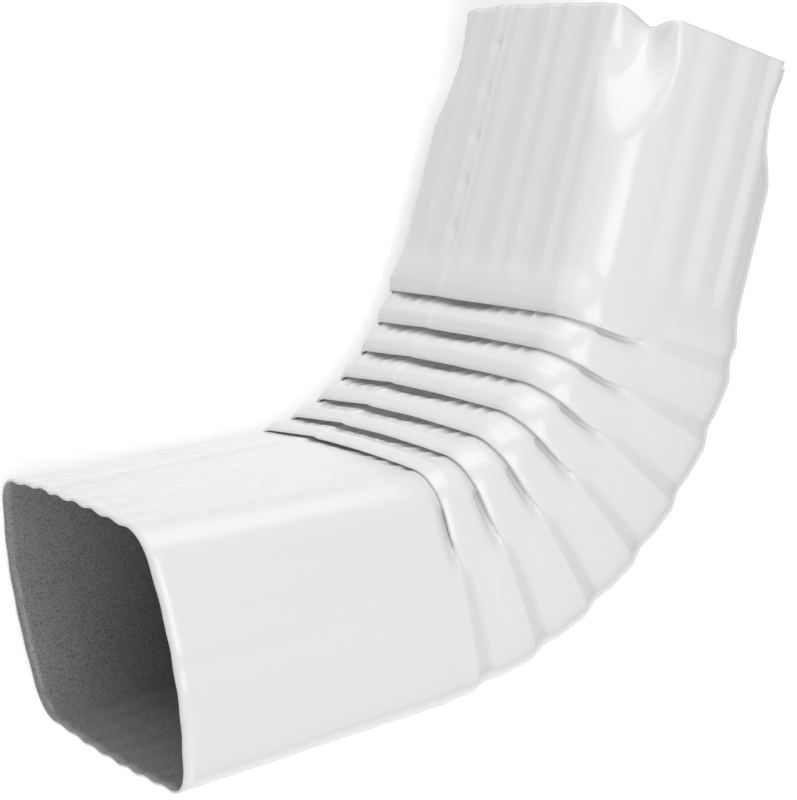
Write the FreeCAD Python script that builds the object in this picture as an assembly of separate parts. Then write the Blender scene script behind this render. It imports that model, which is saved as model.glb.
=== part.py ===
import FreeCAD
import Part
import math
import os
from FreeCAD import Vector

# Downspout elbow: a rectangular sheet-metal tube, pleated on its inner side so that it turns.
# It is one sheet. The plain mouth slips over the pipe above, and the crimped end goes into the pipe below.
# The bend lies in the XY plane and the tube's width runs along Z, so the elbow lies on a narrow side.
# Lengths are millimetres and angles are degrees.

# Driving sizes: the sheet
sheet = 0.5

# Driving sizes: the bend
bend_angle = 65.0
fold_count = 7
throat_radius = 48.3
bend_width = 84.8
bend_depth = 56.4
bend_corner = 10.4
face_crown = 394.0
bend_side_crown = 150.0

# Driving sizes: each fold
lip_gap = 0.15
step_run = 12.0
ridge_band = 4.6
valley_drop = 1.2

# Driving sizes: the plain leg and its mouth
plain_leg = 66.2
plain_collar = 5.0
plain_side_crown = 70.0
mouth_width = 82.6
mouth_depth = 59.7
mouth_corner = 9.0
mouth_flare = 4.1

# Driving sizes: the crimped leg, a spigot slightly smaller than the bend, and the dents of its corners
crimped_leg = 70.9
crimped_collar = 3.0
spigot_width = 81.4
spigot_depth = 54.0
spigot_inset = 1.45
crimp_length = 30.0
crimp_depth = 10.0
crimp_roll = 4.0

# Driving sizes: the stiffening ribs pressed along both legs
rib_height = 0.6
rib_pitch = 9.0
rib_shoulder = 0.1

# Values that follow from the driving sizes
turn = math.radians(bend_angle) / fold_count
throat_pitch = 2 * throat_radius * math.sin(turn / 2)
heel_pitch = 2 * (throat_radius + bend_depth) * math.sin(turn / 2)
tuck = (heel_pitch - throat_pitch) / 2
lip_rise = 2 * (sheet + lip_gap)
crimp_draw = crimp_length - math.sqrt(crimp_length**2 - crimp_depth**2)
face_ribs = round((mouth_width - 2 * mouth_corner) / rib_pitch)
side_ribs = round((mouth_depth - 2 * mouth_corner) / rib_pitch)


def clamp(value):
    """The value, held between 0 and 1."""
    return max(0.0, min(1.0, value))


def blend(a, b, share):
    """A value a share of the way from a to b."""
    return a + (b - a) * share


class Outline:
    """A rectangle with round corners and crowned sides, centred on its own middle.

    A point is found by the direction psi of its outward normal: 90 degrees is the throat side,
    -90 degrees is the heel side, and 0 and 180 degrees are the two narrow sides.
    """

    def __init__(self, width, depth, corner, side_crown):
        self.half_width = width / 2
        self.half_depth = depth / 2
        self.corner = corner
        self.side_crown = side_crown
        # The corner's circle touches the face's circle and the side's circle from within
        self.face_centre = self.half_depth - face_crown
        self.side_centre = self.half_width - side_crown
        from_face = face_crown - corner
        from_side = side_crown - corner
        gap = math.hypot(self.side_centre, self.face_centre)
        along = (from_face**2 - from_side**2 + gap**2) / (2 * gap)
        across = math.sqrt(from_face**2 - along**2)
        toward = (self.side_centre / gap, -self.face_centre / gap)
        self.corner_u = toward[0] * along + toward[1] * across
        self.corner_w = self.face_centre + toward[1] * along - toward[0] * across
        self.face_turn = math.atan2(self.corner_u, self.corner_w - self.face_centre)
        self.side_turn = math.atan2(self.corner_w, self.corner_u - self.side_centre)

    def point(self, psi):
        """The point (u, w) whose outward normal has the direction psi."""
        c, s = math.cos(psi), math.sin(psi)
        steep = math.atan2(abs(s), abs(c))
        if steep <= self.side_turn:
            u = self.side_centre + self.side_crown * abs(c)
            w = self.side_crown * abs(s)
        elif steep <= math.pi / 2 - self.face_turn:
            u = self.corner_u + self.corner * abs(c)
            w = self.corner_w + self.corner * abs(s)
        else:
            u = face_crown * abs(c)
            w = self.face_centre + face_crown * abs(s)
        return math.copysign(u, c), math.copysign(w, s)

    def arcs(self):
        """The directions that bound the eight arcs, once round from the throat face."""
        half, face, side = math.pi / 2, self.face_turn, self.side_turn
        ends = [half + face, half - face, side, -side, face - half]
        ends += [-half - face, side - 2 * half, -2 * half - side, face - 3 * half]
        return list(zip(ends, ends[1:]))


def split(first, last, parts):
    """Equal stretches from one direction to another."""
    cuts = [blend(first, last, i / parts) for i in range(parts + 1)]
    return list(zip(cuts, cuts[1:]))


class Ring:
    """One closed line around the tube: place gives its point for a direction, in stretches."""

    def __init__(self, place, stretches):
        self.edges = [self.smooth_edge(place, first, last) for first, last in stretches]

    @staticmethod
    def smooth_edge(place, first, last):
        """A cubic arc that leaves and arrives the way the line itself does."""
        # Just inside its ends, because the line may turn sharply there
        hair = (last - first) * 1e-9
        first, last = first + hair, last - hair
        step = (last - first) / 10000
        reach = 4 / 3 * math.tan((last - first) / 4) / step
        start, end = place(first), place(last)
        leave = (place(first + step) - start) * reach
        arrive = (end - place(last - step)) * reach
        curve = Part.BezierCurve()
        curve.setPoles([start, start + leave, end - arrive, end])
        return curve.toShape()

    def dent(self, valleys):
        """Open each corner at its middle, with two straight flanks down to its valley."""
        edges = list(self.edges)
        self.edges = []
        for ribs, valley in zip([face_ribs, side_ribs] * 2, valleys):
            before, edges = edges[:2 * ribs + 2], edges[2 * ribs + 2:]
            rims = before[-1].lastVertex().Point, edges[0].firstVertex().Point
            flanks = [Part.makeLine(rims[0], valley), Part.makeLine(valley, rims[1])]
            self.edges += before + flanks + edges[:2]
            edges = edges[2:]

    def skin_to(self, other):
        """Ruled faces from this ring to one with the same stretches."""
        return [Part.makeRuledSurface(a, b, 1) for a, b in zip(self.edges, other.edges)]

    def plate_to(self, other):
        """The flat face between this ring and another in its plane."""
        wires = [Part.Wire(self.edges), Part.Wire(other.edges)]
        return Part.makeFace(wires, "Part::FaceMakerBullseye")


def on_arc(radius, angle):
    """A point of the bend plane, with the bend's centre as the origin."""
    return Vector(radius * math.sin(angle), -radius * math.cos(angle), 0)


bend_outline = Outline(bend_width, bend_depth, bend_corner, bend_side_crown)
mouth_outline = Outline(mouth_width, mouth_depth, mouth_corner, plain_side_crown)
spigot_outline = Outline(spigot_width, spigot_depth, bend_corner, bend_side_crown)


def smooth_stretches(outline):
    """The stretches of a ring without ribs: its faces and sides whole, its corners in halves."""
    return [cut for arc, count in zip(outline.arcs(), [1, 2] * 4) for cut in split(*arc, count)]


def ribbed_stretches(outline):
    """The stretches of a ribbed ring: each rib in two halves, and each corner in four."""
    parts = [2 * face_ribs, 4, 2 * side_ribs, 4] * 2
    return [cut for arc, count in zip(outline.arcs(), parts) for cut in split(*arc, count)]


def fold_ring(index, lip, inner):
    """One of the two crease lines of a fold, on the outer or the inner skin.

    The root line ends the segment before the fold, and the lip line starts the segment after it.
    On the throat the root is tucked under the lip. Along the side the lip becomes a step, which
    dies out, and at the heel the root is a ridge and the lip line a valley beyond it.
    """
    angle = (index + 0.5) * turn
    inward = Vector(math.sin(angle), -math.cos(angle), 0)
    onward = Vector(math.cos(angle), math.sin(angle), 0)
    origin = on_arc(throat_radius, angle)
    outline = bend_outline
    notch_w = outline.point(outline.side_turn)[1]
    corner_turn = math.pi / 2 - outline.face_turn - outline.side_turn

    def place(psi):
        u, w = outline.point(psi)
        tucked = clamp((math.atan2(math.sin(psi), abs(math.cos(psi))) - outline.side_turn) / corner_turn)
        stepped = clamp(1 - (notch_w - w) / step_run)
        opened = clamp((notch_w - w) / (notch_w + outline.half_depth))
        if lip:
            inset, ahead = valley_drop * opened, ridge_band * opened
        else:
            inset, ahead = lip_rise * stepped, tuck * tucked
        if inner:
            # The pressed layers of the tuck are solid, and a step's web is one sheet thick
            inset += sheet
            ahead += sheet * stepped
            if lip:
                layer = tuck + sheet
                ahead += layer * tucked
                inset += lip_rise * tucked * layer / (throat_pitch + tuck)
        depth = outline.half_depth - w + inset * math.sin(psi)
        across = u - inset * math.cos(psi)
        return origin + inward * depth + onward * ahead + Vector(0, 0, across)

    return Ring(place, smooth_stretches(outline))


class Leg:
    """A straight leg: where it leaves the bend, which way it runs and the outline of its open end."""

    def __init__(self, start, outward, inward, end_outline, end_inset):
        self.start = start
        self.outward = outward
        self.inward = inward
        self.end = end_outline
        self.end_inset = end_inset

    def outline_at(self, share):
        """The leg's outline a share of the way from the bend to its open end."""
        half_depth = blend(bend_outline.half_depth * math.cos(turn / 2), self.end.half_depth, share)
        corner = blend(bend_outline.corner, self.end.corner, share)
        # The crown spans the same angle all along the leg, so that the ribs don't twist
        longer = (half_depth - corner) / (self.end.half_depth - self.end.corner)
        side_crown = corner + (self.end.side_crown - self.end.corner) * longer
        return Outline(2 * blend(bend_outline.half_width, self.end.half_width, share),
                       2 * half_depth, corner, side_crown)

    def ring(self, distance, share, inset, ribbed, dented=False):
        """A ring square to the leg, at a distance from the bend."""
        outline = self.outline_at(share)
        origin = self.start + self.outward * distance + self.inward * (self.end_inset * share)
        arcs = list(zip(outline.arcs(), [face_ribs, 0, side_ribs, 0] * 2))

        def pressed(psi, press):
            """The point at a direction, pressed in along its normal."""
            u, w = outline.point(psi)
            depth = outline.half_depth - w + (inset + press) * math.sin(psi)
            return origin + self.inward * depth + Vector(0, 0, u - (inset + press) * math.cos(psi))

        def ribbed_place(psi):
            """The point at a direction, on a rib, on a corner or on the rolled edge of a dent."""
            (first, last), ribs = next((arc, ribs) for arc, ribs in arcs if arc[0] >= psi >= arc[1])
            along = (psi - first) / (last - first)
            if ribs:
                wave = (1 - math.cos(2 * math.pi * ribs * along)) / 2
                return pressed(psi, rib_shoulder + rib_height * wave)
            rim = first if along < 0.5 else last
            keep = crimp_roll / outline.corner if dented else 1.0
            edge = pressed(rim, rib_shoulder)
            return edge + (pressed(psi, rib_shoulder) - edge) * keep

        if not ribbed:
            return Ring(lambda psi: pressed(psi, 0), smooth_stretches(outline))
        ring = Ring(ribbed_place, ribbed_stretches(outline))
        if dented:
            # A corner's line keeps its length, so that the valley of its dent ends short of the rim
            short = self.outward * crimp_draw
            ring.dent([pressed((first + last) / 2, rib_shoulder + crimp_depth) - short
                       for (first, last), ribs in arcs if not ribs])
        return ring


def crimp_skin(start, end):
    """The skin of the spigot end, where each round corner splits into a dent with two flat flanks."""
    before, after = list(start.edges), list(end.edges)
    faces = []
    for ribs in [face_ribs, side_ribs] * 2:
        for _ in range(2 * ribs + 2):
            faces.append(Part.makeRuledSurface(before.pop(0), after.pop(0), 1))
        root = before[0].firstVertex().Point
        for flank in (after.pop(0), after.pop(0)):
            corners = [flank.firstVertex().Point, flank.lastVertex().Point, root]
            faces.append(Part.Face(Part.makePolygon(corners, True)))
        for _ in range(2):
            faces.append(Part.makeRuledSurface(before.pop(0), after.pop(0), 1))
    return faces


end_turn = fold_count * turn
plain = Leg(on_arc(throat_radius, turn / 2), Vector(-1, 0, 0), Vector(0, -1, 0),
            mouth_outline, -mouth_flare)
crimped = Leg(on_arc(throat_radius, end_turn - turn / 2),
              Vector(math.cos(end_turn), math.sin(end_turn), 0),
              Vector(math.sin(end_turn), -math.cos(end_turn), 0),
              spigot_outline, spigot_inset)


def make_skin(inner):
    """All faces of the outer or the inner skin, and its two end rings."""
    inset = sheet if inner else 0.0
    faces = []

    # Plain leg: ribbed from the mouth to a shoulder just before the first fold
    shoulder_at = plain_collar - inset
    share = plain_collar / plain_leg
    mouth = plain.ring(plain_leg, 1.0, inset, True)
    shoulder = plain.ring(shoulder_at, share, inset, True)
    collar = plain.ring(shoulder_at, share, inset, False)
    faces += mouth.skin_to(shoulder)
    faces.append(collar.plate_to(shoulder))

    # Folds: from each root to its lip, and from each lip to the next root
    last = collar
    for index in range(fold_count):
        for lip in (False, True):
            ring = fold_ring(index, lip, inner)
            faces += last.skin_to(ring)
            last = ring

    # Crimped leg: ribbed from its shoulder to the spigot end, whose corners are dented
    shoulder_at = tuck + crimped_collar - inset
    collar = crimped.ring(shoulder_at, 1.0, inset, False)
    shoulder = crimped.ring(shoulder_at, 1.0, inset, True)
    straight_end = crimped.ring(crimped_leg - crimp_length, 1.0, inset, True)
    spigot = crimped.ring(crimped_leg, 1.0, inset, True, True)
    faces += last.skin_to(collar)
    faces.append(collar.plate_to(shoulder))
    faces += shoulder.skin_to(straight_end)
    faces += crimp_skin(straight_end, spigot)
    return faces, mouth, spigot


def make_elbow():
    """The whole elbow as one sheet, with the middle of its lower side at the origin."""
    outer, outer_mouth, outer_spigot = make_skin(False)
    inner, inner_mouth, inner_spigot = make_skin(True)
    rims = [outer_mouth.plate_to(inner_mouth)] + outer_spigot.skin_to(inner_spigot)
    shell = Part.makeShell(outer + inner + rims)
    shell.sewShape()
    solid = Part.makeSolid(shell)
    if solid.Volume < 0:
        solid.reverse()
    box = solid.optimalBoundingBox(False, False)
    solid.translate(Vector(-box.Center.x, -box.Center.y, -box.ZMin))
    return solid


os.makedirs("parts", exist_ok=True)
elbow = make_elbow()
elbow.exportStep("parts/elbow.step")
print("valid", elbow.isValid(), "closed", elbow.isClosed(), "volume mm3", round(elbow.Volume))
print("pitch at throat and heel", round(throat_pitch, 2), round(heel_pitch, 2), "tuck", round(tuck, 2))
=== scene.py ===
"""Looks of a white sheet-metal downspout elbow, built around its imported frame.

The elbow is one thin sheet: a plain leg, a bend made of equal pleats, and a leg with a crimped end. Each of the
three is a grid of rows along the tube and columns round it. The pleats are one grid that Geometry Nodes repeat
round the bend, and the joined sheet gets its thickness, its forming marks and its finishes here.
"""

from __future__ import annotations

import logging
import math
from dataclasses import dataclass
from enum import IntEnum

import bmesh
import bpy
import numpy as np
from mathutils import Matrix, Vector

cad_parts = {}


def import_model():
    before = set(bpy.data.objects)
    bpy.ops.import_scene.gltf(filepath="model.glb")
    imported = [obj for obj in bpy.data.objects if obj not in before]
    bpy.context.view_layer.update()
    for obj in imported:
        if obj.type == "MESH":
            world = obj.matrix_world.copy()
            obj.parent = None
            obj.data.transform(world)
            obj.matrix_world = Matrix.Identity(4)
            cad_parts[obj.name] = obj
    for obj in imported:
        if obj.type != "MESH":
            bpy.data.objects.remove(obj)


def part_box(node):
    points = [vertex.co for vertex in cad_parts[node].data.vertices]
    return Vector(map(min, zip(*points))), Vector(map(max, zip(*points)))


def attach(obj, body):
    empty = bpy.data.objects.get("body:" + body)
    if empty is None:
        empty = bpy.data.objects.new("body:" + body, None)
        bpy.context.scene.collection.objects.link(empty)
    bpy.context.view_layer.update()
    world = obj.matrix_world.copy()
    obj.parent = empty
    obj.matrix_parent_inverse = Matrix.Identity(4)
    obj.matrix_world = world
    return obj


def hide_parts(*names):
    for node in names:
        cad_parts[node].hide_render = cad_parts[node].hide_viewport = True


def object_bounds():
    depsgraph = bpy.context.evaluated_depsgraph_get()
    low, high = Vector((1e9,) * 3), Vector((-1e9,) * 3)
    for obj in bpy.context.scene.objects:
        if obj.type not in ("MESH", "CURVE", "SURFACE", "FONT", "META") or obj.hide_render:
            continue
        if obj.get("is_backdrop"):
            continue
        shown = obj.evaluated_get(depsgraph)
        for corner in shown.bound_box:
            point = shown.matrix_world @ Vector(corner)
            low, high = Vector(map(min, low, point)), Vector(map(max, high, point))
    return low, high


LOG = logging.getLogger("downspout_elbow")
MM = 0.001
# Points of the skin that lie closer than this, in metres, are one point
WELD = 2e-6
# Keeps the dent's width above nothing at its inner end, in millimetres
LEAST_WIDTH = 1e-6
# The distance, in millimetres, of a column that no staking mark can reach
OUT_OF_REACH = 1000.0
# Fixed seeds of the two kinds of forming marks
MARK_SEEDS = {"Broad": 3.0, "Fine": 11.0}

Row = np.ndarray
Profile = list[tuple[np.ndarray | float, np.ndarray | float]]


class Zone(IntEnum):
    """The eight stretches round the tube, in the order of its columns."""

    THROAT = 0
    NEAR_THROAT_CORNER = 1
    NEAR_SIDE = 2
    NEAR_HEEL_CORNER = 3
    HEEL = 4
    FAR_HEEL_CORNER = 5
    FAR_SIDE = 6
    FAR_THROAT_CORNER = 7


class Skin(IntEnum):
    """The material slots of the sheet."""

    OUTSIDE = 0
    INSIDE = 1
    CUT_EDGE = 2


FACES = (Zone.THROAT, Zone.HEEL)
SIDES = (Zone.NEAR_SIDE, Zone.FAR_SIDE)
CORNERS = (Zone.NEAR_THROAT_CORNER, Zone.NEAR_HEEL_CORNER, Zone.FAR_HEEL_CORNER, Zone.FAR_THROAT_CORNER)
THROAT_CORNERS = (Zone.NEAR_THROAT_CORNER, Zone.FAR_THROAT_CORNER)
COLUMN_COUNTS = {
    Zone.THROAT: 77,
    Zone.NEAR_THROAT_CORNER: 14,
    Zone.NEAR_SIDE: 42,
    Zone.NEAR_HEEL_CORNER: 7,
    Zone.HEEL: 38,
    Zone.FAR_HEEL_CORNER: 7,
    Zone.FAR_SIDE: 32,
    Zone.FAR_THROAT_CORNER: 14,
}


@dataclass(frozen=True)
class ElbowSizes:
    """Sizes of the elbow in millimetres and degrees: those of its solid, apart from the height of the ribs."""

    sheet: float = 0.5
    bend_angle: float = 65.0
    fold_count: int = 7
    throat_radius: float = 48.3
    bend_width: float = 84.8
    bend_depth: float = 56.4
    bend_corner: float = 10.4
    face_crown: float = 394.0
    bend_side_crown: float = 150.0
    plain_leg: float = 66.2
    plain_side_crown: float = 70.0
    mouth_width: float = 82.6
    mouth_depth: float = 59.7
    mouth_corner: float = 9.0
    mouth_flare: float = 4.1
    crimped_leg: float = 70.9
    spigot_width: float = 81.4
    spigot_depth: float = 54.0
    spigot_inset: float = 1.45
    face_rib_height: float = 0.5
    side_rib_height: float = 0.34
    face_ribs: int = 7
    side_ribs: int = 5

    @property
    def turn(self) -> float:
        """The angle between two folds, in radians."""
        return math.radians(self.bend_angle) / self.fold_count

    @property
    def tuck(self) -> float:
        """How far the throat's sheet goes in under each lip."""
        spare = 2 * self.bend_depth * math.sin(self.turn / 2)
        return spare / 2


@dataclass(frozen=True)
class FoldSizes:
    """Sizes of one fold in millimetres.

    Attributes:
        lap: how far the tucked layer lies below the lip.
        layer_gap: the gap between two layers that are pressed together.
        step_run: how far the fold's notch runs down a side.
        notch_tuck: the share of the tuck that is left where the side begins.
        notch_gap: how far the notch stands open.
        pleat_blend: the share of the notch's tuck from which the sheet is fully pleated.
        corner_gap: how far the gap under the lip is open at the corners.
        throat_gap: how much wider that gap is at its widest.
        gap_swells: the place, spread and share of each swelling of the gap across the throat.
        first_gap: how far the gap of the first crease is open, as a share of the others.
        ridge_band: the width of the band from ridge to valley at the heel.
        valley_drop: the depth of the valley at the heel.
        band_power: how soon the band widens down a side.
        valley_power: how soon the valley deepens down a side.
        band_reaches: where the rows from ridge to valley lie, as shares of the band.
        valley_rise: how far past the valley the next rows lie, and the share of its depth that is left there.
        ridge_reaches: how far before the ridge the rows lie.
        ridge_slope: how much the sheet falls away before the ridge, for each millimetre and depth of valley.
        pucker: the depth of the puckers along the gap.
        pucker_count: how many puckers the throat has.
        pucker_power: how sharp the creases between them are.
        pucker_fade: the share of the throat over which they end at each corner.
        side_roll: how much of the lip's roll is left at the sides.
    """

    lap: float = 1.6
    layer_gap: float = 0.15
    step_run: float = 16.0
    notch_tuck: float = 0.3
    notch_gap: float = 1.7
    pleat_blend: float = 0.7
    corner_gap: float = 0.4
    throat_gap: float = 2.4
    gap_swells: tuple[tuple[float, float, float], ...] = ((0.48, 0.2, 1.0), (0.12, 0.1, 0.3))
    first_gap: float = 0.3
    ridge_band: float = 4.6
    valley_drop: float = 1.2
    band_power: float = 0.45
    valley_power: float = 0.4
    band_reaches: tuple[float, ...] = (0.0, 0.15, 0.35, 0.55, 0.78, 1.0)
    valley_rise: tuple[tuple[float, float], ...] = ((0.9, 0.96), (2.3, 0.84), (4.2, 0.69))
    ridge_reaches: tuple[float, ...] = (4.2, 2.6, 1.6, 0.8, 0.2)
    ridge_slope: float = 0.075
    pucker: float = 0.7
    pucker_count: int = 11
    pucker_power: float = 0.7
    pucker_fade: float = 0.08
    side_roll: float = 0.35


@dataclass(frozen=True)
class CrimpSizes:
    """Sizes of the dent at each corner of the spigot, in millimetres.

    Attributes:
        length: how far the dent runs in from the rim.
        depth: how deep it is at the rim.
        rim_half_width: half its width at the rim.
        bowl_half_width: half its width at its widest.
        swell_rate: how soon it widens from the rim.
        end_power: how blunt its inner end is.
        crease_radius: how round its crease is.
        crease_power: how hollow its two flanks are at the rim.
        fall_power: how soon it gets shallower from the rim.
        bowl_run: the share of its length over which the crease becomes a bowl.
        arc_per_chord: the way round a corner for each millimetre straight across it.
        side_draw: how far the sides' rim is drawn back.
        draw_power: how close to the sides that drawing back stays.
    """

    length: float = 30.0
    depth: float = 10.0
    rim_half_width: float = 7.2
    bowl_half_width: float = 9.8
    swell_rate: float = 2.5
    end_power: int = 4
    crease_radius: float = 1.3
    crease_power: float = 1.35
    fall_power: float = 1.25
    bowl_run: float = 0.7
    arc_per_chord: float = 1.06
    side_draw: float = 1.8
    draw_power: int = 4


@dataclass(frozen=True)
class LegSizes:
    """How the ribs and marks fade along the two legs, and where the crimped leg narrows.

    Attributes:
        throat_ribs: the share of the ribs' depth that the plain leg's throat keeps behind the mouth.
        mouth_run: the share of the plain leg over which those ribs get shallower.
        bend_run: the share of the plain leg over which all ribs end before the bend.
        spigot_ribs: the share of the ribs' depth that the crimped leg has.
        first_row: where the crimped leg's own rows begin, in millimetres after the last crease.
        neck_start: where its section begins to narrow, in millimetres.
        neck_run: how far it takes to narrow, in millimetres.
        marks_start: where its marks begin, in millimetres.
        throat_marks_run: how far they take to come up on the throat, in millimetres.
        marks_run: how far they take elsewhere, in millimetres.
    """

    throat_ribs: float = 0.25
    mouth_run: float = 0.3
    bend_run: float = 0.3
    spigot_ribs: float = 0.25
    first_row: float = 7.5
    neck_start: float = 2.0
    neck_run: float = 10.0
    marks_start: float = 6.0
    throat_marks_run: float = 5.0
    marks_run: float = 12.0


@dataclass(frozen=True)
class RollMarks:
    """The narrow flats that forming rolls leave along the sheet.

    Attributes:
        places: where two flats meet, across the sheet, in millimetres.
        heights: how proud the sheet is there, in millimetres.
        plain_share: how much of them the plain leg has.
    """

    places: tuple[float, ...] = (
        -42.0, -35.5, -32.1, -26.0, -22.3, -15.1, -11.9, -6.3, -1.8, 6.5, 10.2, 14.1, 20.6, 25.8, 29.2, 36.0, 42.0)
    heights: tuple[float, ...] = (
        0.0, 0.38, -0.14, 0.42, -0.26, 0.46, -0.14, 0.36, -0.24, 0.44, -0.08, 0.3, -0.34, 0.4, -0.02, 0.26, 0.0)
    plain_share: float = 0.25


@dataclass(frozen=True)
class SeamSizes:
    """Sizes of the lock seam on the throat face, in millimetres.

    Attributes:
        across: where the seam lies, as a share of the throat's way round.
        more_columns: where more columns lie beside it, as shares of that way.
        proud: how far its edge stands up.
        step: how far it takes to stand up.
        fade: how soon the sheet falls back behind it.
        stake_beside: how far beside the seam the staking marks lie.
        stake_first: where the first of them lies along the crimped leg.
        stake_pitch: the distance from one to the next.
        stake_count: how many there are.
        stake_radius: how wide each is.
        stake_depth: how deep each is.
    """

    across: float = 0.36
    more_columns: tuple[float, ...] = (-0.022, -0.012, 0.002)
    proud: float = 0.42
    step: float = 1.6
    fade: float = 7.0
    stake_beside: float = 3.6
    stake_first: float = 16.7
    stake_pitch: float = 11.2
    stake_count: int = 5
    stake_radius: float = 1.4
    stake_depth: float = 0.85


def ease(value: np.ndarray | float) -> np.ndarray:
    """A smooth step from 0 to 1 as the value goes from 0 to 1."""
    held = np.clip(value, 0.0, 1.0)
    return held * held * (3 - 2 * held)


@dataclass
class Columns:
    """Where each column of the grid lies round the tube.

    Attributes:
        zone: the zone of each column.
        share: how far along that zone the column lies, from 0 to 1.
    """

    zone: np.ndarray
    share: np.ndarray

    @classmethod
    def laid_out(cls, seam: SeamSizes) -> Columns:
        """Columns close enough for the ribs, with a few more at the seam.

        Args:
            seam: the sizes of the lock seam.

        Returns:
            The columns, once round the tube.
        """
        zones, shares = [], []
        for zone in Zone:
            share = np.arange(COLUMN_COUNTS[zone]) / COLUMN_COUNTS[zone]
            if zone == Zone.THROAT:
                share = np.sort(np.concatenate([share, seam.across + np.array(seam.more_columns)]))
            zones.append(np.full(len(share), int(zone)))
            shares.append(share)
        return cls(np.concatenate(zones), np.concatenate(shares))

    @classmethod
    def single(cls, zone: Zone, share: float) -> Columns:
        """One column, a share of the way along a zone."""
        return cls(np.array([int(zone)]), np.array([share]))

    def among(self, zones: tuple[Zone, ...]) -> np.ndarray:
        """Which columns lie in any of the zones."""
        return np.isin(self.zone, [int(zone) for zone in zones])

    def rib_depth(self, sizes: ElbowSizes) -> np.ndarray:
        """How deep in the hollow between two ribs each column lies.

        Args:
            sizes: the sizes of the elbow.

        Returns:
            The depth in millimetres, nothing on the corners.
        """
        on_face, on_side = self.among(FACES), self.among(SIDES)
        ribs = np.where(on_face, sizes.face_ribs, np.where(on_side, sizes.side_ribs, 0))
        height = np.where(on_face, sizes.face_rib_height, sizes.side_rib_height)
        return height * (1 - np.cos(2 * math.pi * ribs * self.share)) / 2


class Outline:
    """A rectangle with round corners and crowned sides, seen along the tube."""

    def __init__(self, width: float, depth: float, corner: float, face_crown: float, side_crown: float) -> None:
        """Finds the corner circles that touch a face's circle and a side's circle from within.

        Args:
            width: overall width in millimetres.
            depth: overall depth in millimetres.
            corner: radius of the corners.
            face_crown: radius of the two wide faces.
            side_crown: radius of the two narrow sides.
        """
        self.half_width, self.half_depth = width / 2, depth / 2
        self.corner, self.face_crown, self.side_crown = corner, face_crown, side_crown
        self.face_centre = self.half_depth - face_crown
        self.side_centre = self.half_width - side_crown
        from_face, from_side = face_crown - corner, side_crown - corner
        gap = math.hypot(self.side_centre, self.face_centre)
        along = (from_face**2 - from_side**2 + gap**2) / (2 * gap)
        across = math.sqrt(from_face**2 - along**2)
        toward_u, toward_w = self.side_centre / gap, -self.face_centre / gap
        self.corner_u = toward_u * along + toward_w * across
        self.corner_w = self.face_centre + toward_w * along - toward_u * across
        self.face_turn = math.atan2(self.corner_u, self.corner_w - self.face_centre)
        self.side_turn = math.atan2(self.corner_w, self.corner_u - self.side_centre)

    @property
    def face_length(self) -> float:
        """The way round one wide face, from corner to corner."""
        return 2 * self.face_crown * self.face_turn

    def normals(self, columns: Columns) -> np.ndarray:
        """The direction of each column's outward normal.

        Args:
            columns: the columns round the tube.

        Returns:
            The angle from the near side's own direction, in radians.
        """
        half, face, side = math.pi / 2, self.face_turn, self.side_turn
        ends = [half + face, half - face, side, -side, face - half]
        ends += [-half - face, side - 2 * half, -2 * half - side, face - 3 * half]
        bounds = np.array(ends)
        first, last = bounds[columns.zone], bounds[columns.zone + 1]
        return first + (last - first) * columns.share

    def points(self, columns: Columns) -> tuple[np.ndarray, np.ndarray]:
        """Where each column cuts the outline.

        Args:
            columns: the columns round the tube.

        Returns:
            The place across the width, and the place from heel to throat.
        """
        psi = self.normals(columns)
        c, s = np.cos(psi), np.sin(psi)
        on_face, on_side = columns.among(FACES), columns.among(SIDES)
        u = np.where(on_face, self.face_crown * c, np.sign(c) * (self.side_centre + self.side_crown * abs(c)))
        w = np.where(on_face, np.sign(s) * (self.face_centre + self.face_crown * abs(s)), self.side_crown * s)
        on_corner = ~(on_face | on_side)
        u = np.where(on_corner, np.sign(c) * self.corner_u + self.corner * c, u)
        w = np.where(on_corner, np.sign(s) * self.corner_w + self.corner * s, w)
        return u, w


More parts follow.
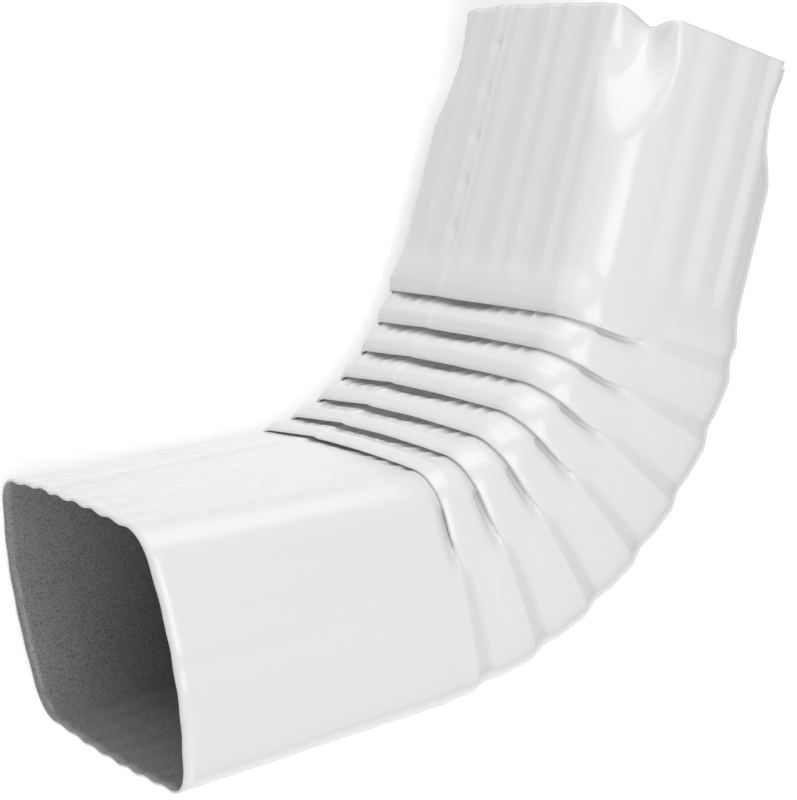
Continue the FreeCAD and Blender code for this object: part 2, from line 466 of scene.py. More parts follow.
class SheetForm:
    """The outer skin of the sheet, as rows of points in millimetres with the bend's centre as the origin."""

    def __init__(
        self, sizes: ElbowSizes, fold: FoldSizes, crimp: CrimpSizes, legs: LegSizes, seam: SeamSizes, marks: RollMarks
    ) -> None:
        """Places the columns on the bend's outline and works out how each fold runs round it.

        Args:
            sizes: the sizes of the elbow.
            fold: the sizes of one fold.
            crimp: the sizes of the spigot's dents.
            legs: how the marks run along the legs.
            seam: the sizes of the lock seam.
            marks: the flats that the rolls leave.
        """
        self.sizes, self.fold, self.crimp = sizes, fold, crimp
        self.legs, self.seam, self.marks = legs, seam, marks
        self.columns = Columns.laid_out(seam)
        self.outline = self.make_outline(sizes.bend_width, sizes.bend_depth, sizes.bend_corner, sizes.bend_side_crown)
        self.u, self.w = self.outline.points(self.columns)
        self.psi = self.outline.normals(self.columns)
        self.ribs = self.columns.rib_depth(sizes)
        self.rolls = self.rolled()
        self.on_throat = self.columns.among((Zone.THROAT,))
        self.seam_rise = self.seam_profile()
        self.shape_fold()

    def make_outline(self, width: float, depth: float, corner: float, side_crown: float) -> Outline:
        """An outline with the sheet's own crown on its wide faces."""
        return Outline(width, depth, corner, self.sizes.face_crown, side_crown)

    def rolled(self) -> np.ndarray:
        """How proud the rolls' flats make each column of the faces and sides.

        Returns:
            The height in millimetres.
        """
        across = np.where(self.columns.among(FACES), self.u, self.w)
        proud = np.interp(across, self.marks.places, self.marks.heights)
        return np.where(self.columns.among(CORNERS), 0.0, proud)

    def seam_profile(self) -> np.ndarray:
        """How proud the lock seam makes each column: a small step, faded away from the seam.

        Returns:
            The height in millimetres.
        """
        behind = (self.seam.across - self.columns.share) * self.outline.face_length
        proud = self.seam.proud * np.clip(behind / self.seam.step, 0, 1)
        proud = proud * np.exp(-np.maximum(behind - self.seam.step, 0) / self.seam.fade)
        return np.where(self.on_throat, proud, 0.0)

    def shape_fold(self) -> None:
        """Sets how far each column of a fold is tucked in, how wide its gap is and how far its ridge is opened."""
        fold, share = self.fold, self.columns.share
        corner = self.columns.among(THROAT_CORNERS)
        toward_notch = np.where(self.columns.zone == Zone.NEAR_THROAT_CORNER, share, 1 - share)
        notch_w = self.outline.points(Columns.single(Zone.NEAR_SIDE, 0.0))[1][0]
        below = notch_w - self.w
        stepped = np.where(self.columns.among(SIDES), np.clip(1 - below / fold.step_run, 0, 1), 0.0)
        along_corner = 1 - (1 - fold.notch_tuck) * toward_notch
        self.tucked = np.where(self.on_throat, 1.0, np.where(corner, along_corner, fold.notch_tuck * stepped))
        self.pleated = ease(self.tucked / (fold.pleat_blend * fold.notch_tuck))
        opened = np.clip(below / (notch_w + self.outline.half_depth), 0, 1)
        self.band = fold.ridge_band * opened**fold.band_power
        self.valley = fold.valley_drop * opened**fold.valley_power
        swell = sum(part * np.exp(-(((share - place) / spread) ** 2)) for place, spread, part in fold.gap_swells)
        beside = np.where(corner, fold.corner_gap, fold.notch_gap * stepped)
        self.gap = np.where(self.on_throat, fold.corner_gap + fold.throat_gap * swell, beside)
        crests = np.abs(np.sin(math.pi * fold.pucker_count * share)) ** fold.pucker_power
        crests = crests * ease(share / fold.pucker_fade) * ease((1 - share) / fold.pucker_fade)
        self.puckered = np.where(self.on_throat, fold.pucker * crests, 0)
        self.faced = np.where(self.on_throat, 1.0, np.where(corner, 1 - toward_notch, 0.0))
        self.rolled_lip = fold.side_roll + (1 - fold.side_roll) * self.faced

    def after_crease(self) -> Profile:
        """The rows just after a crease, from its root: the tucked layer, the lip and the lip's roll.

        On the throat each pair of numbers is a point of the pressed lip's own section, in millimetres.

        Returns:
            For each row, how far it lies ahead of the crease and how high above the tube's line.
        """
        lap, roll = self.fold.lap, self.rolled_lip
        inside = -lap + self.fold.layer_gap
        tuck = self.sizes.tuck * self.tucked
        throat = [
            (tuck, -lap - self.gap - self.puckered),
            (tuck - 0.1, inside - 0.03),
            (tuck / 2 + 0.3, inside),
            (0.6, inside),
            (0.08, inside + 0.3),
            (0.1 + 0.15 * roll, -0.3 - 0.5 * roll),
            (0.3 + 0.9 * roll, -0.1 - 0.4 * roll),
            (1.1 + 1.2 * roll, -0.18 * roll),
            (3.1 + 0.3 * roll, 0.06),
        ]
        band, valley = self.band, self.valley
        side = [(reach * band, -reach * valley) for reach in self.fold.band_reaches]
        side += [(band + beyond, -left * valley) for beyond, left in self.fold.valley_rise]
        return self.mixed(throat, side)

    def before_crease(self, gap_share: float = 1.0) -> Profile:
        """The rows just before a crease: the puckered slope into the gap on the throat, the ridge on the side.

        On the throat each pair of numbers is a point of the slope's own section, in millimetres.

        Args:
            gap_share: how far the gap under the lip is open, from 0 to 1.

        Returns:
            For each row, how far it lies ahead of the crease and how high above the tube's line.
        """
        lap, gap, pucker, faced = self.fold.lap, self.gap * gap_share, self.puckered, self.faced
        throat = [
            (-3.6, -0.35 * faced),
            (-2.2, -0.1 - 0.66 * faced - 0.2 * pucker),
            (-1.3 + 0.2 * faced, -0.6 - 0.5 * faced - 0.35 * gap - 0.6 * pucker),
            (-0.6 + 0.4 * faced, -1.35 - 0.8 * gap - pucker),
            (0.3 * self.sizes.tuck * self.tucked, -lap - gap - pucker),
        ]
        side = [(-reach, -self.fold.ridge_slope * reach * self.valley) for reach in self.fold.ridge_reaches]
        return self.mixed(throat, side)

    def mixed(self, throat: Profile, side: Profile) -> Profile:
        """Each row as the throat has it where the sheet is pleated, and as the side has it elsewhere.

        Args:
            throat: the rows on the throat.
            side: the rows on the sides and the heel.

        Returns:
            The rows all the way round.
        """
        share = self.pleated
        return [
            (share * a + (1 - share) * c, share * b + (1 - share) * d)
            for (a, b), (c, d) in zip(throat, side)
        ]

    def crease_row(self, index: float, ahead: np.ndarray, height: np.ndarray) -> Row:
        """A row near a crease.

        Args:
            index: which crease, from 0.
            ahead: how far each column lies ahead of it along the tube.
            height: how high each column lies above the tube's line.

        Returns:
            One point for each column.
        """
        angle = (index + 0.5) * self.sizes.turn
        c, s = math.cos(angle), math.sin(angle)
        radius = self.sizes.throat_radius + self.outline.half_depth - self.w
        height = height + self.seam_rise
        rise = height * np.sin(self.psi)
        x = radius * s + ahead * c - rise * s
        y = -radius * c + ahead * s + rise * c
        z = self.u + height * np.cos(self.psi)
        return np.stack([x, y, z], axis=1)

    def pleat_rows(self) -> list[Row]:
        """The rows of one pleat, from the root of the first crease to the root of the next.

        Returns:
            The rows in order.
        """
        rows = [self.crease_row(0, ahead, height) for ahead, height in self.after_crease()]
        later = [self.crease_row(1, ahead, height) for ahead, height in self.before_crease()]
        body = [rows[-1] + (later[0] - rows[-1]) * share for share in (0.25, 0.5, 0.75)]
        root = self.crease_row(1, *self.after_crease()[0])
        return rows + body + later + [root]

    def plain_leg_rows(self, count: int = 26) -> list[Row]:
        """The rows of the plain leg, from its mouth to the root of the first crease.

        Args:
            count: the number of rows before the crease's own.

        Returns:
            The rows in order.
        """
        sizes, legs = self.sizes, self.legs
        mouth = self.make_outline(sizes.mouth_width, sizes.mouth_depth, sizes.mouth_corner, sizes.plain_side_crown)
        u, w = mouth.points(self.columns)
        start = Vector((math.sin(sizes.turn / 2), -math.cos(sizes.turn / 2))) * sizes.throat_radius
        x = np.full_like(u, start.x - sizes.plain_leg)
        y = start.y + sizes.mouth_flare - (mouth.half_depth - w)
        first = np.stack([x, y, u], axis=1)
        before = self.before_crease(self.fold.first_gap)
        last = self.crease_row(0, before[0][0], -self.seam_rise)
        normal = np.stack([0 * u, np.sin(self.psi), np.cos(self.psi)], axis=1)
        rows = []
        for share in np.linspace(0, 1, count, endpoint=False):
            kept = np.where(self.on_throat, 1 - (1 - legs.throat_ribs) * ease(share / legs.mouth_run), 1.0)
            fade = kept * (1 - ease((share - (1 - legs.bend_run)) / legs.bend_run))
            height = self.seam_rise + (self.marks.plain_share * self.rolls - self.ribs) * fade
            rows.append(first + (last - first) * share + normal * height[:, None])
        rows += [self.crease_row(0, ahead, height) for ahead, height in before]
        return rows + [self.crease_row(0, *self.after_crease()[0])]

    def crimped_leg_rows(self, count: int = 58) -> list[Row]:
        """The rows of the crimped leg, from the root of the last crease to the rim of the spigot.

        Args:
            count: the number of rows after the crease's own.

        Returns:
            The rows in order.
        """
        sizes, legs, crimp = self.sizes, self.legs, self.crimp
        crease = sizes.fold_count - 1
        rows = [self.crease_row(crease, ahead, height) for ahead, height in self.after_crease()]
        end = math.radians(sizes.bend_angle)
        onward = np.array([math.cos(end), math.sin(end), 0])
        throatward = np.array([-math.sin(end), math.cos(end), 0])
        angle = end - sizes.turn / 2
        start = np.array([math.sin(angle), -math.cos(angle), 0]) * sizes.throat_radius
        depth = sizes.bend_depth * math.cos(sizes.turn / 2)
        bend = self.leg_section(sizes.bend_width, depth, 0.0)
        spigot = self.leg_section(sizes.spigot_width, sizes.spigot_depth, sizes.spigot_inset)
        away, diagonal = self.corner_distances()
        for distance in np.linspace(legs.first_row, sizes.crimped_leg, count):
            u, w = bend + (spigot - bend) * ease((distance - legs.neck_start) / legs.neck_run)
            from_rim = sizes.crimped_leg - distance
            run = np.where(self.on_throat, legs.throat_marks_run, legs.marks_run)
            fade = ease((distance - legs.marks_start) / run)
            height = self.seam_rise + (self.rolls - legs.spigot_ribs * self.ribs) * fade - self.stakes(distance)
            dent = self.dent(from_rim, away)
            drawn = crimp.side_draw * ease(1 - from_rim / crimp.length) * (u / np.abs(u).max()) ** crimp.draw_power
            along = distance - drawn - dent**2 / (2 * crimp.length)
            u = u + height * np.cos(self.psi) - dent * np.cos(diagonal)
            w = w + height * np.sin(self.psi) - dent * np.sin(diagonal)
            rows.append(start + np.outer(along, onward) + np.outer(w, throatward) + np.outer(u, [0, 0, 1]))
        return rows

    def leg_section(self, width: float, depth: float, inset: float) -> np.ndarray:
        """A section of the crimped leg.

        Args:
            width: overall width.
            depth: overall depth.
            inset: how far its throat face lies in from the throat's line.

        Returns:
            The place of each column across the width, and its place from the throat's line.
        """
        outline = self.make_outline(width, depth, self.sizes.bend_corner, self.sizes.bend_side_crown)
        u, w = outline.points(self.columns)
        return np.stack([u, w - outline.half_depth - inset])

    def corner_distances(self) -> tuple[np.ndarray, np.ndarray]:
        """How far each column lies from its nearest corner's middle.

        Returns:
            The distance, and the direction of that corner's outward normal.
        """
        away = np.full(len(self.u), np.inf)
        diagonal = np.zeros(len(self.u))
        for zone in CORNERS:
            middle = Columns.single(zone, 0.5)
            (corner_u,), (corner_w,) = self.outline.points(middle)
            distance = np.hypot(self.u - corner_u, self.w - corner_w) * self.crimp.arc_per_chord
            closer = distance < away
            away = np.where(closer, distance, away)
            diagonal = np.where(closer, self.outline.normals(middle)[0], diagonal)
        return away, diagonal

    def dent(self, from_rim: float, away: np.ndarray) -> np.ndarray:
        """How far the crimp presses each column in.

        Args:
            from_rim: distance from the spigot's rim.
            away: distance of each column from its corner's middle.

        Returns:
            The depth of the dent.
        """
        crimp = self.crimp
        along = min(from_rim / crimp.length, 1.0)
        swell = crimp.bowl_half_width - crimp.rim_half_width
        half_width = crimp.rim_half_width + swell * ease(crimp.swell_rate * along)
        half_width = half_width * math.sqrt(1 - along**crimp.end_power) + LEAST_WIDTH
        rounded = np.hypot(away, crimp.crease_radius) - crimp.crease_radius
        beside = np.clip(1 - rounded / half_width, 0, 1)
        creased, bowl = beside**crimp.crease_power, ease(beside)
        fall = (1 - along) ** crimp.fall_power
        return crimp.depth * fall * (creased + (bowl - creased) * ease(along / crimp.bowl_run))

    def stakes(self, distance: float) -> np.ndarray:
        """How deep the small staking marks beside the seam are.

        Args:
            distance: how far along the crimped leg.

        Returns:
            The depth at each column, in millimetres.
        """
        beside = (self.columns.share - self.seam.across) * self.outline.face_length + self.seam.stake_beside
        beside = np.where(self.on_throat, beside, OUT_OF_REACH)
        deep = np.zeros_like(beside)
        for index in range(self.seam.stake_count):
            along = distance - self.seam.stake_first - index * self.seam.stake_pitch
            deep += self.seam.stake_depth * np.exp(-(along**2 + beside**2) / self.seam.stake_radius**2)
        return deep


def add_node(tree: bpy.types.NodeTree, kind: str, links: dict | None = None, **settings: object) -> bpy.types.Node:
    """Adds a node with its settings and links.

    Args:
        tree: the node tree that gets the node.
        kind: the node's type.
        links: for each input, by name or number, a value or the output that feeds it.
        settings: the node's own properties.

    Returns:
        The node.
    """
    node = tree.nodes.new(kind)
    for name, value in settings.items():
        setattr(node, name, value)
    for key, value in (links or {}).items():
        if isinstance(value, bpy.types.NodeSocket):
            tree.links.new(value, node.inputs[key])
        else:
            node.inputs[key].default_value = value
    return node


def linear(hex_colour: str) -> tuple[float, float, float, float]:
    """Turns an sRGB hex colour into linear light.

    Args:
        hex_colour: six hex digits after a hash.

    Returns:
        Red, green, blue and an alpha of 1.
    """
    channels = [int(hex_colour[i:i + 2], 16) / 255 for i in (1, 3, 5)]
    light = [c / 12.92 if c <= 0.04045 else ((c + 0.055) / 1.055) ** 2.4 for c in channels]
    return light[0], light[1], light[2], 1.0


def shaded(name: str, values: dict[str, object]) -> bpy.types.Material:
    """A new material with some values set on its shader.

    Args:
        name: the material's name.
        values: for each input of the shader, its value.

    Returns:
        The material.
    """
    made = bpy.data.materials.new(name)
    made.use_nodes = True
    for key, value in values.items():
        made.node_tree.nodes["Principled BSDF"].inputs[key].default_value = value
    return made


@dataclass(frozen=True)
class BakedEnamel:
    """White polyester enamel, roller-coated on aluminium coil and baked.

    It is smooth and hard, so it shows soft lights as glossy patches along the folds and corners.
    """

    name: str = "baked_white_enamel"
    colour: str = "#EBEBEA"
    roughness: float = 0.2
    ior: float = 1.5

    def material(self) -> bpy.types.Material:
        """Builds the finish."""
        return shaded(self.name, {
            "Base Color": linear(self.colour), "Roughness": self.roughness, "IOR": self.ior})


@dataclass(frozen=True)
class WashCoat:
    """The thin grey wash coat on the back of painted coil.

    It is dull and lets the metal's fine dark grain through. The real grain is too fine to show in the render, so it
    is drawn as coarse as it needs to show.

    Attributes:
        speck_mm: the size of the grain as drawn.
        speck_detail: how many finer layers the grain has.
        speck_range: where the noise is all speck, and where it is all coat.
    """

    name: str = "grey_wash_coat"
    colour: str = "#9C9C9B"
    speck_colour: str = "#6E6E6D"
    roughness: float = 0.34
    speck_mm: float = 0.4
    speck_detail: float = 2.0
    speck_range: tuple[float, float] = (0.3, 0.55)

    def material(self) -> bpy.types.Material:
        """Builds the finish.

        Returns:
            The material, its grain on Object coordinates.
        """
        made = shaded(self.name, {"Roughness": self.roughness})
        tree = made.node_tree
        place = add_node(tree, "ShaderNodeTexCoord")
        noise = add_node(tree, "ShaderNodeTexNoise", {
            "Vector": place.outputs["Object"], "Scale": 1 / (self.speck_mm * MM), "Detail": self.speck_detail})
        ramp = add_node(tree, "ShaderNodeValToRGB", {"Fac": noise.outputs["Fac"]})
        colours = (self.speck_colour, self.colour)
        for stop, position, colour in zip(ramp.color_ramp.elements, self.speck_range, colours):
            stop.position, stop.color = position, linear(colour)
        tree.links.new(ramp.outputs["Color"], tree.nodes["Principled BSDF"].inputs["Base Color"])
        return made


@dataclass(frozen=True)
class CutEdge:
    """The sheared edge of the coil, where bare aluminium shows as a thin line."""

    name: str = "bare_aluminium_edge"
    colour: str = "#C8C9CA"
    roughness: float = 0.4

    def material(self) -> bpy.types.Material:
        """Builds the finish."""
        return shaded(self.name, {
            "Base Color": linear(self.colour), "Metallic": 1.0, "Roughness": self.roughness})


@dataclass(frozen=True)
class WhitePaper:
    """Matt white paper under the elbow, which shows white and keeps the shadow.

    Attributes:
        lift: how much it shines to the camera and in gloss and glass. It sheds no light on the elbow otherwise.
    """

    name: str = "white_paper"
    colour: str = "#DADADA"
    lift: float = 0.5

    def material(self) -> bpy.types.Material:
        """Builds the finish.

        Returns:
            The material.
        """
        made = bpy.data.materials.new(self.name)
        made.use_nodes = True
        tree = made.node_tree
        tree.nodes.remove(tree.nodes["Principled BSDF"])
        matt = add_node(tree, "ShaderNodeBsdfDiffuse", {"Color": linear(self.colour)})
        path = add_node(tree, "ShaderNodeLightPath").outputs
        seen = path["Is Camera Ray"]
        for ray in ("Is Glossy Ray", "Is Transmission Ray"):
            seen = add_node(tree, "ShaderNodeMath", {0: seen, 1: path[ray]}, operation="MAXIMUM").outputs[0]
        lift = add_node(tree, "ShaderNodeMath", {0: seen, 1: self.lift}, operation="MULTIPLY")
        glow = add_node(tree, "ShaderNodeEmission", {"Strength": lift.outputs[0]})
        both = add_node(tree, "ShaderNodeAddShader", {0: matt.outputs[0], 1: glow.outputs[0]})
        tree.links.new(both.outputs[0], tree.nodes["Material Output"].inputs["Surface"])
        return made


def mesh_of_rows(name: str, rows: list[Row]) -> bpy.types.Mesh:
    """A skin through rows of points that each go once round the tube.

    Args:
        name: the mesh's name.
        rows: the rows in order, each with one point for each column, in millimetres.

    Returns:
        The mesh, in metres.
    """
    columns = len(rows[0])
    points = np.concatenate(rows) * MM
    here = np.arange(columns)
    beside = np.roll(here, -1)
    quads = [
        np.stack([here + row * columns, here + (row + 1) * columns,
                  beside + (row + 1) * columns, beside + row * columns], axis=1)
        for row in range(len(rows) - 1)
    ]
    mesh = bpy.data.meshes.new(name)
    mesh.from_pydata(points.tolist(), [], np.concatenate(quads).tolist())
    return mesh


def applied(carrier: bpy.types.Object, tree: bpy.types.NodeTree, inputs: dict[str, object]) -> bpy.types.Mesh:
    """Runs a Geometry Nodes tree on an object once.

    Args:
        carrier: the object that holds the mesh to start from.
        tree: the node tree.
        inputs: a value for each named input.

    Returns:
        The mesh that the tree makes.
    """
    modifier = carrier.modifiers.new(tree.name, "NODES")
    modifier.node_group = tree
    for item in tree.interface.items_tree:
        if item.item_type == "SOCKET" and item.name in inputs:
            modifier[item.identifier] = inputs[item.name]
    bpy.context.view_layer.update()
    evaluated = carrier.evaluated_get(bpy.context.evaluated_depsgraph_get())
    mesh = bpy.data.meshes.new_from_object(evaluated)
    carrier.modifiers.remove(modifier)
    return mesh


def new_tree(name: str, sockets: dict[str, str]) -> bpy.types.NodeTree:
    """A Geometry Nodes tree with a mesh in, a mesh out and named inputs.

    Args:
        name: the tree's name.
        sockets: for each further input, its socket type.

    Returns:
        The tree, without nodes.
    """
    tree = bpy.data.node_groups.new(name, "GeometryNodeTree")
    tree.interface.new_socket("Geometry", in_out="OUTPUT", socket_type="NodeSocketGeometry")
    tree.interface.new_socket("Geometry", in_out="INPUT", socket_type="NodeSocketGeometry")
    for label, kind in sockets.items():
        tree.interface.new_socket(label, in_out="INPUT", socket_type=kind)
    return tree


def pleat_array_tree() -> bpy.types.NodeTree:
    """A tree that repeats one pleat round the axis of the bend.

    Returns:
        The tree.
    """
    tree = new_tree("pleats_round_bend", {
        "Pleats": "NodeSocketInt", "Turn": "NodeSocketFloat", "Finish": "NodeSocketMaterial"})
    given = add_node(tree, "NodeGroupInput").outputs
    points = add_node(tree, "GeometryNodePoints", {"Count": given["Pleats"]})
    index = add_node(tree, "GeometryNodeInputIndex")
    angle = add_node(tree, "ShaderNodeMath", {0: index.outputs[0], 1: given["Turn"]}, operation="MULTIPLY")
    spin = add_node(tree, "ShaderNodeCombineXYZ", {"Z": angle.outputs[0]})
    placed = add_node(tree, "GeometryNodeInstanceOnPoints", {
        "Points": points.outputs[0], "Instance": given["Geometry"], "Rotation": spin.outputs[0]})
    real = add_node(tree, "GeometryNodeRealizeInstances", {0: placed.outputs[0]})
    painted = add_node(tree, "GeometryNodeSetMaterial", {"Geometry": real.outputs[0], "Material": given["Finish"]})
    add_node(tree, "NodeGroupOutput", {0: painted.outputs[0]})
    return tree


def forming_tree() -> bpy.types.NodeTree:
    """A tree that gives a formed sheet the slight unevenness of its pressing.

    Returns:
        The tree.
    """
    tree = new_tree("forming_marks", {
        "Broad": "NodeSocketFloat", "Broad size": "NodeSocketFloat",
        "Fine": "NodeSocketFloat", "Fine size": "NodeSocketFloat", "Finish": "NodeSocketMaterial"})
    given = add_node(tree, "NodeGroupInput").outputs
    place = add_node(tree, "GeometryNodeInputPosition").outputs[0]
    shifts = []
    for mark, seed in MARK_SEEDS.items():
        scale = add_node(tree, "ShaderNodeMath", {0: 1.0, 1: given[f"{mark} size"]}, operation="DIVIDE")
        noise = add_node(tree, "ShaderNodeTexNoise", {
            "Vector": place, "W": seed, "Scale": scale.outputs[0], "Detail": 1.0}, noise_dimensions="4D")
        centred = add_node(tree, "ShaderNodeVectorMath", {
            0: noise.outputs["Color"], 1: (0.5, 0.5, 0.5)}, operation="SUBTRACT")
        shifts.append(add_node(tree, "ShaderNodeVectorMath", {
            0: centred.outputs[0], "Scale": given[mark]}, operation="SCALE").outputs[0])
    total = add_node(tree, "ShaderNodeVectorMath", {0: shifts[0], 1: shifts[1]}, operation="ADD")
    moved = add_node(tree, "GeometryNodeSetPosition", {"Geometry": given["Geometry"], "Offset": total.outputs[0]})
    real = add_node(tree, "GeometryNodeRealizeInstances", {0: moved.outputs[0]})
    painted = add_node(tree, "GeometryNodeSetMaterial", {"Geometry": real.outputs[0], "Material": given["Finish"]})
    add_node(tree, "NodeGroupOutput", {0: painted.outputs[0]})
    return tree


def new_object(name: str, mesh: bpy.types.Mesh) -> bpy.types.Object:
    """An object in the scene that holds a mesh."""
    made = bpy.data.objects.new(name, mesh)
    bpy.context.scene.collection.objects.link(made)
    return made


@dataclass
class Elbow:
    """The whole elbow: its sheet, formed, finished and set where the frame has it.

    Attributes:
        broad_mark: the depth of the broad forming marks, in millimetres, and their size.
        fine_mark: the depth of the fine forming marks, in millimetres, and their size.
        sharp_angle: the angle in degrees from which an edge is shown sharp.
    """

    sizes: ElbowSizes = ElbowSizes()
    fold: FoldSizes = FoldSizes()
    crimp: CrimpSizes = CrimpSizes()
    legs: LegSizes = LegSizes()
    seam: SeamSizes = SeamSizes()
    marks: RollMarks = RollMarks()
    node: str = "elbow"
    body: str = "root"
    slot: str = "enamel"
    broad_mark: float = 0.5
    broad_mark_size: float = 30.0
    fine_mark: float = 0.16
    fine_mark_size: float = 9.0
    sharp_angle: float = 50.0

    def bend_centre(self) -> Vector:
        """Where the axis of the bend crosses the middle of the tube, from the frame's own box.

        Returns:
            The place in metres.
        """
        low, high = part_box(self.node)
        half_turn = self.sizes.turn / 2
        reach = self.sizes.plain_leg - self.sizes.throat_radius * math.sin(half_turn)
        heel = (self.sizes.throat_radius + self.sizes.bend_depth) * math.cos(half_turn)
        return Vector((low.x + reach * MM, low.y + heel * MM, (low.z + high.z) / 2))

    def formed_skin(self, finish: bpy.types.Material) -> bpy.types.Mesh:
        """The outer skin of the sheet, joined from its legs and pleats.

        Args:
            finish: the material of the outside.

        Returns:
            One open skin with the bend's centre as its origin.
        """
        form = SheetForm(self.sizes, self.fold, self.crimp, self.legs, self.seam, self.marks)
        carrier = new_object("pleat", mesh_of_rows("pleat", form.pleat_rows()))
        pleats = applied(carrier, pleat_array_tree(), {
            "Pleats": self.sizes.fold_count - 1, "Turn": self.sizes.turn, "Finish": finish})
        bpy.data.objects.remove(carrier)
        joined = bmesh.new()
        for part in (
            mesh_of_rows("plain_leg", form.plain_leg_rows()),
            pleats,
            mesh_of_rows("crimped_leg", form.crimped_leg_rows()),
        ):
            joined.from_mesh(part)
        bmesh.ops.remove_doubles(joined, verts=joined.verts[:], dist=WELD)
        bmesh.ops.recalc_face_normals(joined, faces=joined.faces[:])
        skin = bpy.data.meshes.new("elbow_skin")
        joined.to_mesh(skin)
        joined.free()
        return skin

    def build(self) -> bpy.types.Object:
        """Builds the sheet and sets it on the frame.

        Returns:
            The piece that stands for the whole elbow.
        """
        finishes = {
            Skin.OUTSIDE: BakedEnamel().material(),
            Skin.INSIDE: WashCoat().material(),
            Skin.CUT_EDGE: CutEdge().material(),
        }
        carrier = new_object("skin", self.formed_skin(finishes[Skin.OUTSIDE]))
        mesh = applied(carrier, forming_tree(), {
            "Broad": self.broad_mark * MM, "Broad size": self.broad_mark_size * MM,
            "Fine": self.fine_mark * MM, "Fine size": self.fine_mark_size * MM,
            "Finish": finishes[Skin.OUTSIDE]})
        bpy.data.objects.remove(carrier)
        mesh.transform(Matrix.Translation(self.bend_centre()))
        mesh.shade_smooth()
        mesh.set_sharp_from_angle(angle=math.radians(self.sharp_angle))
        sheet = new_object("elbow_sheet", mesh)
        sheet.data.materials.clear()
        for skin in Skin:
            sheet.data.materials.append(finishes[skin])
        wall = sheet.modifiers.new("sheet_thickness", "SOLIDIFY")
        wall.thickness = self.sizes.sheet * MM
        wall.offset = -1.0
        wall.material_offset = int(Skin.INSIDE)
        wall.material_offset_rim = int(Skin.CUT_EDGE)
        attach(sheet, self.body)
        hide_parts(self.node)
        LOG.info("%s: %d faces in its outer skin", sheet.name, len(mesh.polygons))
        return sheet


@dataclass(frozen=True)
class Softbox:
    """A square soft light.

    Attributes:
        name: its name.
        place: where it hangs, in metres.
        size: its side in metres.
        power: its power in watts.
    """

    name: str
    place: tuple[float, float, float]
    size: float
    power: float

    def build(self, target: tuple[float, float, float]) -> bpy.types.Object:
        """Hangs the light so that it faces a point.

        Args:
            target: the point, in metres.

        Returns:
            The light.
        """
        data = bpy.data.lights.new(self.name, "AREA")
        data.size, data.energy = self.size, self.power
        light = bpy.data.objects.new(self.name, data)
        place = Vector(self.place)
        turned = (Vector(target) - place).to_track_quat("-Z", "Y").to_matrix().to_4x4()
        light.matrix_world = Matrix.Translation(place) @ turned
        bpy.context.scene.collection.objects.link(light)
        return light


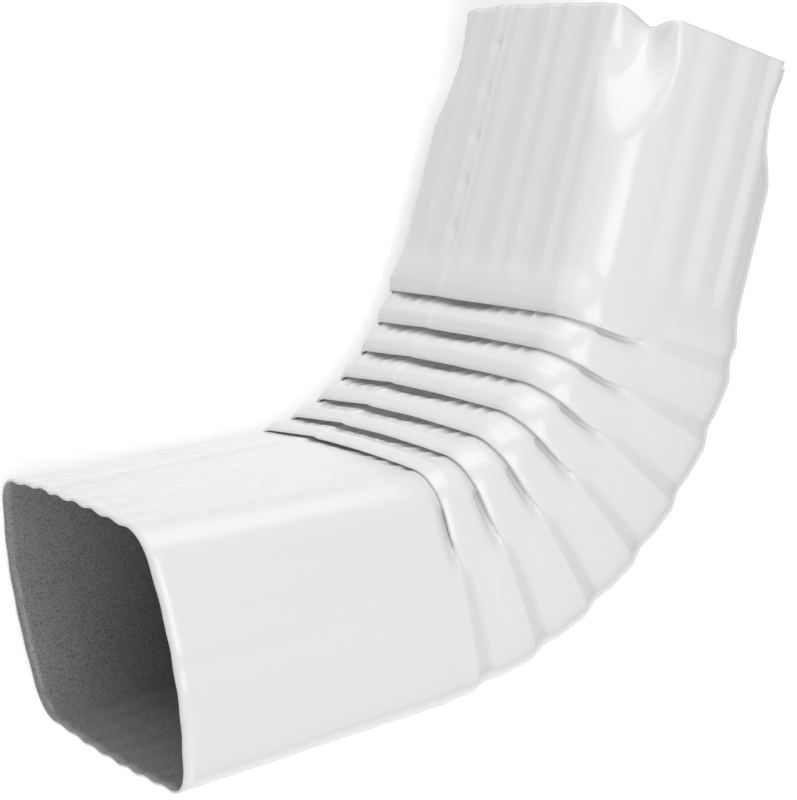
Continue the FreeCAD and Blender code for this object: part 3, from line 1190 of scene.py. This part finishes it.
@dataclass(frozen=True)
class Studio:
    """A pale floor, soft light and the photograph's camera.

    Attributes:
        camera_place: where the camera stands, in millimetres from the centre of the elbow's bend.
        camera_forward: where it looks.
        camera_right: the direction of the picture's right.
        focal_pixels: its focal length in pixels of the picture.
        image_height: the picture's longer side in pixels.
        sensor: the sensor's side in millimetres.
        floor_half: half the floor's side, in metres.
        floor_gap: how far the floor lies below the elbow, in millimetres.
        fill: the strength of the even light from all round.
        target: the point that all softboxes face, in metres.
        softboxes: the lights.
    """

    camera_place: tuple[float, float, float] = (-227.8, 67.8, 415.7)
    camera_forward: tuple[float, float, float] = (0.5016, -0.2232, -0.8358)
    camera_right: tuple[float, float, float] = (0.834, -0.1317, 0.5358)
    focal_pixels: float = 2174.0
    image_height: int = 800
    sensor: float = 36.0
    floor_half: float = 3.0
    floor_gap: float = 1.0
    fill: float = 0.05
    target: tuple[float, float, float] = (0.0, 0.0, 0.04)
    softboxes: tuple[Softbox, ...] = (
        Softbox("front_softbox", (-0.31, 0.0, 1.25), 1.0, 9.5),
        Softbox("top_softbox", (0.06, 1.23, 0.24), 1.4, 13.8),
        Softbox("top_left_softbox", (-0.535, 1.1, 0.295), 1.4, 3.4),
        Softbox("low_left_softbox", (-0.455, -1.08, 0.48), 1.4, 7.5),
        Softbox("low_right_softbox", (0.475, -0.8, 0.88), 1.4, 3.2),
    )

    def build_camera(self, bend_centre: Vector) -> bpy.types.Object:
        """Sets the camera where the photograph was taken from.

        Args:
            bend_centre: the centre of the elbow's bend.

        Returns:
            The camera.
        """
        data = bpy.data.cameras.new("camera")
        data.sensor_width = self.sensor
        data.lens = self.focal_pixels / self.image_height * self.sensor
        forward = Vector(self.camera_forward).normalized()
        up = Vector(self.camera_right).cross(forward).normalized()
        right = forward.cross(up)
        camera = bpy.data.objects.new("camera", data)
        turned = Matrix((right, up, -forward)).transposed().to_4x4()
        camera.matrix_world = Matrix.Translation(bend_centre + Vector(self.camera_place) * MM) @ turned
        bpy.context.scene.collection.objects.link(camera)
        bpy.context.scene.camera = camera
        return camera

    def build_floor(self, under: float) -> bpy.types.Object:
        """A wide pale floor that shows white to the camera and keeps the elbow's shadow.

        Args:
            under: the height of the elbow's lowest point, in metres.

        Returns:
            The floor.
        """
        half, level = self.floor_half, under - self.floor_gap * MM
        mesh = bpy.data.meshes.new("floor")
        corners = [(-half, -half, level), (half, -half, level), (half, half, level), (-half, half, level)]
        mesh.from_pydata(corners, [], [(0, 1, 2, 3)])
        paper = WhitePaper().material()
        floor = new_object("floor", mesh)
        floor.data.materials.append(paper)
        floor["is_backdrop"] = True
        return floor

    def build_light(self) -> None:
        """Soft light from all round, the most of it from above and from in front."""
        world = bpy.data.worlds.new("studio")
        bpy.context.scene.world = world
        world.use_nodes = True
        back = world.node_tree.nodes["Background"]
        back.inputs["Color"].default_value = (1.0, 1.0, 1.0, 1.0)
        back.inputs["Strength"].default_value = self.fill
        for softbox in self.softboxes:
            softbox.build(self.target)


def main() -> None:
    """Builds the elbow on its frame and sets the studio."""
    logging.basicConfig(level=logging.INFO, format="%(name)s %(message)s")
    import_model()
    cad_low, cad_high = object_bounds()
    bpy.context.scene.view_settings.view_transform = "Standard"
    elbow = Elbow()
    elbow.build()
    studio = Studio()
    studio.build_camera(elbow.bend_centre())
    studio.build_floor(cad_low.z)
    studio.build_light()


if __name__ == "__main__":
    main()
